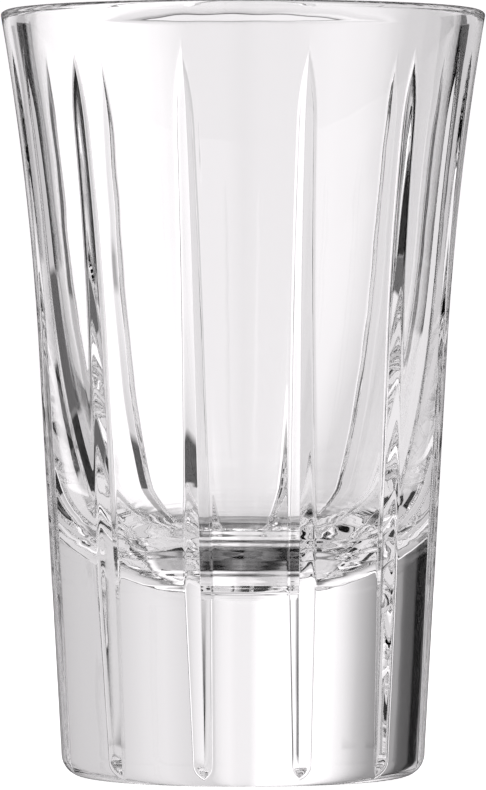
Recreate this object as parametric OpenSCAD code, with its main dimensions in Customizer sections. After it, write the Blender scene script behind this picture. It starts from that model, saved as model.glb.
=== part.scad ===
// Heavy-based shot glass with twelve vertical V cuts, made of one piece of clear glass.
// Origin: centre of the flat underside. +Z points up, out of the mouth.

/* [Body] */
// Overall height
glass_h = 75; // [70:0.5:80]
// Outer radius at the mouth, just under the rounded lip
mouth_r = 23.7; // [23:0.1:25]
// Outer radius at the top of the rounded bottom corner
base_r = 17.8; // [17.2:0.1:18.4]
// Height where the straight lower side turns into the flare
flare_z = 42; // [38:0.5:46]
// Slope of the straight lower side, radius gained per unit of height
side_slope = 0.0555; // [0.045:0.0005:0.06]
// Radius of the rounded bottom corner
corner_r = 2.2; // [1.5:0.1:3]
// Height of the rounded lip
lip_h = 0.6; // [0.4:0.05:0.9]

/* [Cavity] */
// Wall thickness of the upper part
wall_t = 2.2; // [1.8:0.1:2.6]
// Height of the cavity's lowest point, which is the thickness of the solid base
floor_z = 17.7; // [15:0.1:20]
// Radius of the cavity's round bottom
bowl_r = 15; // [14:0.1:15.5]
// Height above which the wall has its even thickness
even_z = 52; // [48:0.5:58]

/* [Cuts] */
// Number of vertical cuts
cut_count = 12; // [8:1:14]
// Height of the pointed upper end of each cut
cut_top_z = 69.5; // [66:0.5:71]
// Depth of a cut below the surface, under its upper point
cut_depth_high = 0.45; // [0.35:0.05:0.8]
// Depth of a cut where it is deepest, near the level of the cavity's bottom
cut_depth_low = 0.8; // [0.6:0.05:1.2]
// Depth of a cut at the bottom corner
cut_depth_foot = 0.55; // [0.3:0.05:0.9]
// Length over which a cut runs out to its upper point
cut_runout = 6; // [4:0.5:12]
// Angle between each face of a cut and the surface
cut_face_angle = 30; // [24:0.5:35]
// Angle by which each cut leans to one side
cut_lean = 0.8; // [0:0.1:1.5]

/* [Hidden] */
$fn = 96;
flare_steps = 12;
corner_steps = 8;
lip_steps = 12;
bowl_steps = 16;
wall_steps = 8;
cut_steps = 16;
// Angle below the round bottom's equator at which the wall takes over from it
shoulder_angle = 16;
cut_low_z = 19;
// How far each cut sits from even spacing, in degrees, from the first one after +X
cut_shift = [0, 0, -2, 2, 0, 0.5, 1.5, 2.6, 2.8, 3.2, 3.2, 1.5];
cutter_size = 60;

lip_z = glass_h - lip_h;
flare_h = lip_z - flare_z;
flare_start_r = base_r + side_slope * (flare_z - corner_r);
flare_gain = (mouth_r - flare_start_r - side_slope * flare_h) / pow(flare_h, 2);
side_lean = atan(side_slope);
bowl_centre_z = floor_z + bowl_r;

// Outer radius of the uncut side at height z
function side_r(z) =
    base_r + side_slope * (z - corner_r) + flare_gain * pow(max(0, z - flare_z), 2);

// Depth of a cut's crease below the uncut side at height z
function cut_depth(z) =
    let (
        rise = min(1, max(0, (z - cut_low_z) / (cut_top_z - cut_low_z))),
        drop = max(0, (cut_low_z - z) / cut_low_z),
        full = cut_depth_low + (cut_depth_high - cut_depth_low) * rise
            + (cut_depth_foot - cut_depth_low) * drop,
        left = (cut_top_z - z) / cut_runout
    )
    left >= 1 ? full : full * (1 - pow(1 - left, 2));

// Point on a circle about centre
function on_arc(centre, r, a) = centre + r * [cos(a), sin(a)];

// Where the line through p along u meets the line through q along v
function meeting(p, u, q, v) = p + u * cross(q - p, v) / cross(u, v);

// Point on the curve from a to c whose tangents meet at b
function on_curve(a, b, c, t) = pow(1 - t, 2) * a + 2 * t * (1 - t) * b + pow(t, 2) * c;

module glass_section() {
    corner_centre = [base_r - corner_r * cos(side_lean), corner_r];
    lip_slope = side_slope + 2 * flare_gain * flare_h;
    even_point = [side_r(even_z) - wall_t, even_z];
    even_direction = [side_slope + 2 * flare_gain * (even_z - flare_z), 1];
    shoulder = on_arc([0, bowl_centre_z], bowl_r, -shoulder_angle);
    shoulder_direction = [sin(shoulder_angle), cos(shoulder_angle)];
    bend = meeting(shoulder, shoulder_direction, even_point, even_direction);
    polygon(concat(
        [[0, 0]],
        [for (i = [0 : corner_steps])
            on_arc(corner_centre, corner_r, -90 + (90 - side_lean) * i / corner_steps)],
        [for (i = [0 : flare_steps])
            let (z = flare_z + flare_h * i / flare_steps)
            [side_r(z), z]],
        [for (i = [1 : lip_steps])
            let (a = 180 * i / lip_steps, rise = lip_h * sin(a))
            [mouth_r - wall_t / 2 * (1 - cos(a)) + lip_slope * rise, lip_z + rise]],
        [for (i = [wall_steps - 1 : -1 : 0])
            let (z = even_z + (lip_z - even_z) * i / wall_steps)
            [side_r(z) - wall_t, z]],
        [for (i = [wall_steps - 1 : -1 : 1])
            on_curve(shoulder, bend, even_point, i / wall_steps)],
        [for (i = [0 : bowl_steps])
            on_arc([0, bowl_centre_z], bowl_r,
                -shoulder_angle - (90 - shoulder_angle) * i / bowl_steps)]
    ));
}

// Everything outside one face of a cut, as a straight sweep of its crease line
module outside_face(side) {
    rotate([0, 0, side * cut_face_angle])
        rotate([90, 0, 0])
            linear_extrude(cutter_size, center = true)
                polygon(concat(
                    [for (i = [0 : cut_steps])
                        let (z = cut_top_z * i / cut_steps)
                        [(side_r(z) - cut_depth(z)) * cos(cut_face_angle), z]],
                    [[cutter_size, cut_top_z], [cutter_size, -1], [0, -1]]
                ));
}

module cutter() {
    intersection() {
        outside_face(-1);
        outside_face(1);
    }
}

module glass_body() {
    color([0.93, 0.94, 0.95, 0.5])
        difference() {
            rotate_extrude() glass_section();
            for (i = [0 : cut_count - 1])
                rotate([0, 0, (i + 0.5) * 360 / cut_count + cut_shift[i % len(cut_shift)]])
                    rotate([cut_lean, 0, 0])
                        cutter();
        }
}

glass_body();
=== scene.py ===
import math

import bpy
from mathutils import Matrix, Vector


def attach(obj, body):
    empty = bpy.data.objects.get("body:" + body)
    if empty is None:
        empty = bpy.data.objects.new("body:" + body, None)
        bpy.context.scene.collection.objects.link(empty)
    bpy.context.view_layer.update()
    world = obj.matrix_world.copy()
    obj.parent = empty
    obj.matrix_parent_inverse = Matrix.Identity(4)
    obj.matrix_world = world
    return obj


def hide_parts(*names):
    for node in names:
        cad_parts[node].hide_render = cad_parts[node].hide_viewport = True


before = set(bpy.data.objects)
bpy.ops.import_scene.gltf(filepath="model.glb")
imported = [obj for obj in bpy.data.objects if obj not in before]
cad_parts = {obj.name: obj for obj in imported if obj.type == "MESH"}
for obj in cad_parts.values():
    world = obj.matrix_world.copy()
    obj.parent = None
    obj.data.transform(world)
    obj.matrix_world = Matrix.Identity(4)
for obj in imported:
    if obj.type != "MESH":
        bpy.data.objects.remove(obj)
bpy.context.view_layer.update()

MM = 0.001

# The glass's profile, in millimetres, as in the CAD model
GLASS_H = 75.0
MOUTH_R = 23.7
BASE_R = 17.8
FLARE_Z = 42.0
SIDE_SLOPE = 0.0555
CORNER_R = 2.2
WALL_T = 2.2
LIP_H = 0.6
FLOOR_Z = 17.7
BOWL_R = 15.0
EVEN_Z = 52.0
SHOULDER_ANGLE = math.radians(16)

LIP_Z = GLASS_H - LIP_H
FLARE_H = LIP_Z - FLARE_Z
FLARE_START_R = BASE_R + SIDE_SLOPE * (FLARE_Z - CORNER_R)
FLARE_GAIN = (MOUTH_R - FLARE_START_R - SIDE_SLOPE * FLARE_H) / FLARE_H**2
CORNER_LEAN = math.atan(SIDE_SLOPE)
CORNER_CENTRE = (BASE_R - CORNER_R * math.cos(CORNER_LEAN), CORNER_R)
BOWL_CENTRE_Z = FLOOR_Z + BOWL_R

# The V cuts, in millimetres, as in the CAD model
CUT_COUNT = 12
CUT_TOP_Z = 69.5
CUT_LOW_Z = 19.0
CUT_DEPTH_HIGH = 0.45
CUT_DEPTH_LOW = 0.8
CUT_DEPTH_FOOT = 0.55
CUT_RUNOUT = 6.0
CUT_FACE_ANGLE = math.radians(30)
CUT_LEAN = math.radians(0.8)
# How far each cut sits from even spacing, in degrees, from the first one after +X
CUT_SHIFTS = [0, 0, -2, 2, 0, 0.5, 1.5, 2.6, 2.8, 3.2, 3.2, 1.5]
# How softly a cut's faces pass into the side
EDGE_SOFTNESS = 0.05
# This many softnesses from the edge, the soft edge and the sharp one are the same
EDGE_REACH = 30
# Height above a cut's upper point from which the side is left plain
CLEAR_OF_CUTS = 1.0

# Waves that pressing left in the cavity's round bottom, in millimetres along it from its lowest point
RIPPLE_H = 0.009
RIPPLE_FADE_IN = 1.5
RIPPLE_FADE_OUT = 4.0
RIPPLE_END = 17.0
# Each wave: height, waves along the bowl in radians per mm, sway, sways per turn, sway's start in radians
RIPPLE_WAVES = [(1.0, 4.4, 0.9, 1, 0.4), (0.5, 7.1, 1.3, 2, 2.1)]

# How finely the mesh is divided
FOOT_STEPS = 8
CORNER_STEPS = 14
SIDE_STEP = 0.9
SIDE_LAST_STEP = 0.3
LIP_STEPS = 18
WALL_STEPS = 20
SHOULDER_STEPS = 24
BOWL_STEPS = 150
# Columns beside a cut's crease, in degrees, first fine and then coarser, and those on the land between
FINE_STEP = 0.15
FINE_STEPS = 4
COARSE_STEP = 0.4
COARSE_STEPS = 16
LAND_STEPS = 18


def side_r(z):
    """Outer radius of the uncut side at height z."""
    return BASE_R + SIDE_SLOPE * (z - CORNER_R) + FLARE_GAIN * max(0.0, z - FLARE_Z) ** 2


def side_lean(z):
    """Radius that the uncut side gains per unit of height, at height z."""
    return SIDE_SLOPE + 2 * FLARE_GAIN * max(0.0, z - FLARE_Z)


def cut_depth(z):
    """Depth of a cut's crease below the uncut side at height z."""
    rise = min(1.0, max(0.0, (z - CUT_LOW_Z) / (CUT_TOP_Z - CUT_LOW_Z)))
    drop = max(0.0, (CUT_LOW_Z - z) / CUT_LOW_Z)
    full = CUT_DEPTH_LOW
    full += (CUT_DEPTH_HIGH - CUT_DEPTH_LOW) * rise
    full += (CUT_DEPTH_FOOT - CUT_DEPTH_LOW) * drop
    left = (CUT_TOP_Z - z) / CUT_RUNOUT
    return full if left >= 1 else full * (1 - (1 - left) ** 2)


def cut_r(r, z, phi):
    """Radius at height z, phi away from the nearest cut's crease, where the uncut radius is r."""
    if z >= CUT_TOP_Z + CLEAR_OF_CUTS:
        return r
    crease = side_r(z) - cut_depth(z)
    facet = crease / (math.cos(phi) - math.sin(abs(phi)) * math.tan(CUT_FACE_ANGLE))
    gap = (facet - r) / EDGE_SOFTNESS
    if gap > EDGE_REACH:
        return r
    if gap <= -EDGE_REACH:
        return facet
    return r - EDGE_SOFTNESS * math.log1p(math.exp(-gap))


def twist(z):
    """How far a leaning cut has turned round the axis at height z."""
    return -math.atan2(z * math.tan(CUT_LEAN), side_r(z))


def ripple(along, turn):
    """Height of the waves, along mm from the cavity's lowest point, at angle turn."""
    fade = min(1.0, along / RIPPLE_FADE_IN)
    fade *= min(1.0, max(0.0, (RIPPLE_END - along) / RIPPLE_FADE_OUT))
    waves = 0.0
    for height, pace, sway, sways, start in RIPPLE_WAVES:
        waves += height * math.sin(pace * along + sway * math.sin(sways * turn + start))
    return RIPPLE_H * fade * waves


def arc(centre, r, start, end, steps):
    """Points on a circle about centre, from angle start to angle end."""
    points = []
    for i in range(steps + 1):
        a = start + (end - start) * i / steps
        points.append((centre[0] + r * math.cos(a), centre[1] + r * math.sin(a)))
    return points


# The section is a row of points (radius, height), in stretches from the middle of the underside, out,
# up, over the lip and down to the cavity's lowest point


def foot_points():
    return [(CORNER_CENTRE[0] * i / FOOT_STEPS, 0.0) for i in range(1, FOOT_STEPS)]


def side_points():
    """The bottom corner and the outer side."""
    points = arc(CORNER_CENTRE, CORNER_R, -math.pi / 2, -CORNER_LEAN, CORNER_STEPS)
    z = points[-1][1]
    while z < LIP_Z - SIDE_STEP - SIDE_LAST_STEP:
        z += SIDE_STEP
        points.append((side_r(z), z))
    points.append((side_r(LIP_Z), LIP_Z))
    return points


def lip_points():
    """The rounded lip, kept within the mouth's radius."""
    lean = side_lean(LIP_Z)
    points = []
    for i in range(1, LIP_STEPS + 1):
        a = math.pi * i / LIP_STEPS
        rise = LIP_H * math.sin(a)
        r = MOUTH_R - WALL_T / 2 + WALL_T / 2 * math.cos(a) + lean * rise
        points.append((min(r, MOUTH_R), LIP_Z + rise))
    return points


def wall_points():
    """The inside, down to where the wall stops being even."""
    points = []
    for i in range(1, WALL_STEPS + 1):
        z = LIP_Z + (EVEN_Z - LIP_Z) * i / WALL_STEPS
        points.append((side_r(z) - WALL_T, z))
    return points


def shoulder_points():
    """The curve from the even wall to the round bottom, which meets both without a kink."""
    low = arc((0.0, BOWL_CENTRE_Z), BOWL_R, -SHOULDER_ANGLE, -SHOULDER_ANGLE, 1)[0]
    high = (side_r(EVEN_Z) - WALL_T, EVEN_Z)
    lean_low, lean_high = math.tan(SHOULDER_ANGLE), side_lean(EVEN_Z)
    bend_z = high[0] - low[0] - lean_high * high[1] + lean_low * low[1]
    bend_z /= lean_low - lean_high
    bend = (low[0] + lean_low * (bend_z - low[1]), bend_z)
    points = []
    for i in range(1, SHOULDER_STEPS):
        t = 1 - i / SHOULDER_STEPS
        shares = ((1 - t) ** 2, 2 * t * (1 - t), t**2)
        points.append(
            tuple(sum(share * p[k] for share, p in zip(shares, (low, bend, high))) for k in (0, 1))
        )
    return points


def bowl_points():
    """The cavity's round bottom, without its lowest point."""
    return arc((0.0, BOWL_CENTRE_Z), BOWL_R, -SHOULDER_ANGLE, -math.pi / 2, BOWL_STEPS)[:-1]


def columns():
    """Angles round the glass, close together at the cuts, each with its angle from the nearest crease."""
    pitch = 360 / CUT_COUNT
    creases = [(i + 0.5) * pitch + shift for i, shift in enumerate(CUT_SHIFTS)]
    fine_end = FINE_STEP * FINE_STEPS
    close = [FINE_STEP * i for i in range(FINE_STEPS + 1)]
    close += [fine_end + COARSE_STEP * i for i in range(1, COARSE_STEPS + 1)]
    angles = []
    for crease, following in zip(creases, creases[1:] + [creases[0] + 360]):
        angles += [(crease + offset, offset) for offset in close]
        start, end = crease + close[-1], following - close[-1]
        middle = (crease + following) / 2
        for i in range(1, LAND_STEPS):
            angle = start + (end - start) * i / LAND_STEPS
            angles.append((angle, angle - crease if angle < middle else angle - following))
        angles += [(following - offset, -offset) for offset in reversed(close[1:])]
    return [(math.radians(angle), math.radians(phi)) for angle, phi in angles]


def worked_point(work, r, z, turn, phi):
    """The section's point (r, z) at angle turn, phi from the nearest crease, after that stretch's work."""
    if work == "cut":
        return cut_r(r, z, phi), z
    if work == "rippled":
        along = BOWL_R * math.atan2(r, BOWL_CENTRE_Z - z)
        scale = 1 - ripple(along, turn) / BOWL_R
        return r * scale, BOWL_CENTRE_Z + (z - BOWL_CENTRE_Z) * scale
    return r, z


def ring_faces(rows, first_centre, last_centre):
    """Faces between rings of points, closed by a fan of triangles at each end."""
    n = len(rows[0])
    faces = []
    for i in range(n):
        j = (i + 1) % n
        faces.append((first_centre, rows[0][j], rows[0][i]))
        faces.append((last_centre, rows[-1][i], rows[-1][j]))
    for low, high in zip(rows, rows[1:]):
        for i in range(n):
            j = (i + 1) % n
            faces.append((low[i], low[j], high[j], high[i]))
    return faces


def build_glass():
    stretches = (
        ("plain", foot_points()),
        ("cut", side_points()),
        ("plain", lip_points()),
        ("plain", wall_points() + shoulder_points()),
        ("rippled", bowl_points()),
    )
    around = columns()
    verts = [(0.0, 0.0, 0.0)]
    rows = []
    for work, points in stretches:
        for r, z in points:
            rows.append(range(len(verts), len(verts) + len(around)))
            for turn, phi in around:
                worked_r, worked_z = worked_point(work, r, z, turn, phi)
                turned = turn + twist(z)
                x, y = worked_r * math.cos(turned), worked_r * math.sin(turned)
                verts.append((x * MM, y * MM, worked_z * MM))
    verts.append((0.0, 0.0, FLOOR_Z * MM))
    mesh = bpy.data.meshes.new("cut_glass")
    mesh.from_pydata(verts, [], ring_faces(rows, 0, len(verts) - 1))
    mesh.validate()
    mesh.polygons.foreach_set("use_smooth", [True] * len(mesh.polygons))
    mesh.update()
    obj = bpy.data.objects.new("cut_glass", mesh)
    bpy.context.scene.collection.objects.link(obj)
    return obj


GLASS_IOR = 1.52
# Faint haze in patches: none where the noise is HAZE_FROM, and full where it is HAZE_FULL
HAZE_SCALE = 90.0
HAZE_DETAIL = 2.0
HAZE_FROM = 0.45
HAZE_FULL = 0.8
HAZE_ROUGHNESS = 0.01
# Shallow waves in the surface, with their height in metres
WAVE_SCALE = 160.0
WAVE_DETAIL = 1.0
WAVE_HEIGHT = 0.00002


def glass_material():
    mat = bpy.data.materials.new("clear_glass")
    mat.use_nodes = True
    nodes, links = mat.node_tree.nodes, mat.node_tree.links
    bsdf = nodes["Principled BSDF"]
    bsdf.inputs["Base Color"].default_value = (1, 1, 1, 1)
    bsdf.inputs["IOR"].default_value = GLASS_IOR
    bsdf.inputs["Transmission Weight"].default_value = 1.0
    coords = nodes.new("ShaderNodeTexCoord")

    def noise(scale, detail):
        node = nodes.new("ShaderNodeTexNoise")
        node.inputs["Scale"].default_value = scale
        node.inputs["Detail"].default_value = detail
        links.new(coords.outputs["Object"], node.inputs["Vector"])
        return node.outputs["Fac"]

    haze = nodes.new("ShaderNodeMapRange")
    haze.inputs["From Min"].default_value = HAZE_FROM
    haze.inputs["From Max"].default_value = HAZE_FULL
    haze.inputs["To Max"].default_value = HAZE_ROUGHNESS
    links.new(noise(HAZE_SCALE, HAZE_DETAIL), haze.inputs["Value"])
    links.new(haze.outputs["Result"], bsdf.inputs["Roughness"])
    bump = nodes.new("ShaderNodeBump")
    bump.inputs["Strength"].default_value = 1.0
    bump.inputs["Distance"].default_value = WAVE_HEIGHT
    links.new(noise(WAVE_SCALE, WAVE_DETAIL), bump.inputs["Height"])
    links.new(bump.outputs["Normal"], bsdf.inputs["Normal"])
    return mat


FLOOR_RADIUS = 0.45
# Just under the glass, so that the two never coincide
FLOOR_LEVEL = -0.0003
FLOOR_GLOW = 0.8


def build_floor():
    """A pale floor, which the glass neither shows nor mirrors."""
    bpy.ops.mesh.primitive_circle_add(
        vertices=96, radius=FLOOR_RADIUS, fill_type="NGON", location=(0, 0, FLOOR_LEVEL)
    )
    floor = bpy.context.object
    floor.name = "floor"
    mat = bpy.data.materials.new("floor")
    mat.use_nodes = True
    bsdf = mat.node_tree.nodes["Principled BSDF"]
    bsdf.inputs["Base Color"].default_value = (0.95, 0.95, 0.95, 1)
    bsdf.inputs["Emission Color"].default_value = (1, 1, 1, 1)
    bsdf.inputs["Emission Strength"].default_value = FLOOR_GLOW
    bsdf.inputs["Roughness"].default_value = 0.6
    floor.data.materials.append(mat)
    floor.visible_transmission = False
    floor.visible_glossy = False
    return floor


# The studio is a world of light levels with dark cards in it. They were chosen by comparing the
# photograph's tones with the directions in which the glass bends the view, so they suit this glass from
# this camera and are not a plain studio. Azimuths are degrees to the right of straight behind the glass,
# and elevations are degrees above level.
CAMERA_SIDE_LEFT = [(-180, 0.03), (-148, 0.03), (-140, 0.85), (-100, 0.85), (-90, 0.68)]
PANELS_BEHIND = [
    (-22, 1.00),
    (-16, 1.35),
    (-3.4, 1.35),
    (-2.4, 0.97),
    (2, 0.97),
    (3, 1.03),
    (4.5, 0.97),
    (7, 0.75),
    (12, 0.78),
    (17, 0.87),
    (22, 0.84),
    (28, 0.74),
]
CAMERA_SIDE_RIGHT = [(100, 0.8), (170, 0.8), (180, 0.03)]
# A black panel stands at 65 to 56 degrees to the left, above the table's level, with grey beside it
LEFT_ABOVE = [
    (-68, 0.68),
    (-65, 0.004),
    (-56, 0.004),
    (-54, 0.11),
    (-47, 0.14),
    (-44, 0.34),
    (-33, 0.36),
    (-27, 0.62),
]
LEFT_BELOW = [(-64, 0.68), (-45, 0.60), (-33, 0.50), (-27, 0.75)]
RIGHT_ABOVE = [(42, 0.68), (90, 0.68)]
RIGHT_BELOW = [(50, 0.90), (70, 0.90), (90, 0.70)]
# Light level against azimuth, above the table's level and below it
LIGHT_ABOVE = CAMERA_SIDE_LEFT + LEFT_ABOVE + PANELS_BEHIND + RIGHT_ABOVE + CAMERA_SIDE_RIGHT
LIGHT_BELOW = CAMERA_SIDE_LEFT + LEFT_BELOW + PANELS_BEHIND + RIGHT_BELOW + CAMERA_SIDE_RIGHT
# Elevations between which the one passes into the other
BELOW_UP_TO = -0.9
ABOVE_FROM = -0.4
# Factor on the level against elevation
HEIGHT_LIGHT = [
    (-90, 0.20),
    (-84, 0.22),
    (-80, 0.10),
    (-78, 0.24),
    (-75, 0.16),
    (-71, 0.10),
    (-69, 0.01),
    (-66, 0.01),
    (-63, 0.10),
    (-60, 0.40),
    (-56, 0.30),
    (-52, 0.70),
    (-48, 0.85),
    (-30, 0.95),
    (-15, 1),
    (55, 1),
    (60, 1.5),
    (90, 1.5),
]
# Cards that stop part of the light: azimuth, half width, elevation, half height, light left
CARDS = [
    (-25.5, 2.5, -2.0, 1.5, 0.40),
    (-45.5, 14.5, -3.5, 3.2, 0.02),
    (-60.0, 13.5, -15.0, 8.0, 0.12),
    (-67.0, 9.5, -29.5, 6.5, 0.015),
    (46.5, 15.5, -3.0, 2.7, 0.003),
    (47.5, 14.0, -9.8, 4.3, 0.12),
    (-28.0, 4.5, -22.0, 6.5, 0.02),
    (-112.0, 18.0, 44.0, 11.0, 0.02),
    (110.0, 14.0, 50.0, 8.0, 0.03),
]
# Width of a card's soft edge
CARD_EDGE = 1.0
STUDIO_TINT = (1.0, 0.975, 0.993, 1.0)
# What the camera sees past the glass
WHITE_BACKDROP = 1.05
# Share of the light that is left in a mirror image
REFLECTION_DIM = 0.06


def build_studio():
    world = bpy.data.worlds.new("studio")
    bpy.context.scene.world = world
    world.use_nodes = True
    nodes, links = world.node_tree.nodes, world.node_tree.links
    nodes.clear()

    def math_node(op, *values):
        node = nodes.new("ShaderNodeMath")
        node.operation = op
        for socket, value in zip(node.inputs, values):
            if isinstance(value, (int, float)):
                socket.default_value = value
            else:
                links.new(value, socket)
        return node.outputs[0]

    def curve(value, points):
        """A light level that runs straight between the given points."""
        low, high = points[0][0], points[-1][0]
        top = max(level for _, level in points)
        node = nodes.new("ShaderNodeFloatCurve")
        share = math_node("DIVIDE", math_node("SUBTRACT", value, low), high - low)
        links.new(share, node.inputs["Value"])
        line = node.mapping.curves[0]
        while len(line.points) < len(points):
            line.points.new(0.5, 0.5)
        for point, (at, level) in zip(line.points, points):
            point.location = ((at - low) / (high - low), level / top)
            point.handle_type = "VECTOR"
        node.mapping.update()
        return math_node("MULTIPLY", node.outputs[0], top)

    def ramp(value, start, end):
        """Rises from 0 at start to 1 at end."""
        node = nodes.new("ShaderNodeMapRange")
        links.new(value, node.inputs["Value"])
        node.inputs["From Min"].default_value = start
        node.inputs["From Max"].default_value = end
        return node.outputs["Result"]

    def band(value, centre, half):
        """1 within half of centre, 0 outside."""
        off = math_node("ABSOLUTE", math_node("SUBTRACT", value, centre))
        return ramp(off, half + CARD_EDGE / 2, half - CARD_EDGE / 2)

    def blend(share, low, high):
        """low where share is 0, high where it is 1."""
        return math_node("MULTIPLY_ADD", share, math_node("SUBTRACT", high, low), low)

    coords = nodes.new("ShaderNodeTexCoord")
    split = nodes.new("ShaderNodeSeparateXYZ")
    links.new(coords.outputs["Generated"], split.inputs[0])
    azimuth = math_node("DEGREES", math_node("ARCTAN2", split.outputs[0], split.outputs[1]))
    elevation = math_node("DEGREES", math_node("ARCSINE", split.outputs[2]))

    above, below = curve(azimuth, LIGHT_ABOVE), curve(azimuth, LIGHT_BELOW)
    level = blend(ramp(elevation, BELOW_UP_TO, ABOVE_FROM), below, above)
    level = math_node("MULTIPLY", level, curve(elevation, HEIGHT_LIGHT))
    for az, half_width, el, half_height, left in CARDS:
        inside = math_node("MULTIPLY", band(azimuth, az, half_width), band(elevation, el, half_height))
        level = blend(inside, level, left)

    path = nodes.new("ShaderNodeLightPath")
    mirrored = math_node("SUBTRACT", path.outputs["Is Glossy Ray"], path.outputs["Is Transmission Ray"])
    mirrored = math_node("MULTIPLY", math_node("MAXIMUM", mirrored, 0), REFLECTION_DIM - 1)
    level = math_node("MULTIPLY", level, math_node("ADD", mirrored, 1))
    seen = math_node("MULTIPLY", path.outputs["Is Camera Ray"], WHITE_BACKDROP)
    level = math_node("MAXIMUM", level, seen)

    background = nodes.new("ShaderNodeBackground")
    background.inputs["Color"].default_value = STUDIO_TINT
    links.new(level, background.inputs["Strength"])
    out = nodes.new("ShaderNodeOutputWorld")
    links.new(background.outputs[0], out.inputs[0])


# In metres and, for the lens, millimetres
CAMERA_DISTANCE = 0.641
CAMERA_HEIGHT = 0.0455
TARGET_HEIGHT = 0.0373
SENSOR_WIDTH = 36.0
FOCAL_LENGTH = 298.0


def build_camera():
    """A long lens a little above the glass's middle, straight in front."""
    data = bpy.data.cameras.new("camera")
    data.sensor_width = SENSOR_WIDTH
    data.lens = FOCAL_LENGTH
    data.clip_start = 0.01
    data.clip_end = 50
    camera = bpy.data.objects.new("camera", data)
    camera.location = (0, -CAMERA_DISTANCE, CAMERA_HEIGHT)
    target = Vector((0, 0, TARGET_HEIGHT))
    camera.rotation_euler = (target - camera.location).to_track_quat("-Z", "Y").to_euler()
    bpy.context.scene.collection.objects.link(camera)
    bpy.context.scene.camera = camera


def set_light_paths():
    """Enough bounces for light to cross the glass's many faces, shown in plain colours."""
    scene = bpy.context.scene
    scene.view_settings.view_transform = "Standard"
    scene.cycles.use_denoising = True
    scene.cycles.max_bounces = 32
    scene.cycles.transmission_bounces = 32
    scene.cycles.glossy_bounces = 16
    scene.cycles.transparent_max_bounces = 16


glass = build_glass()
glass.data.materials.append(glass_material())
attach(glass, "root")
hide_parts("glass_body")

build_floor()
build_studio()
build_camera()
set_light_paths()
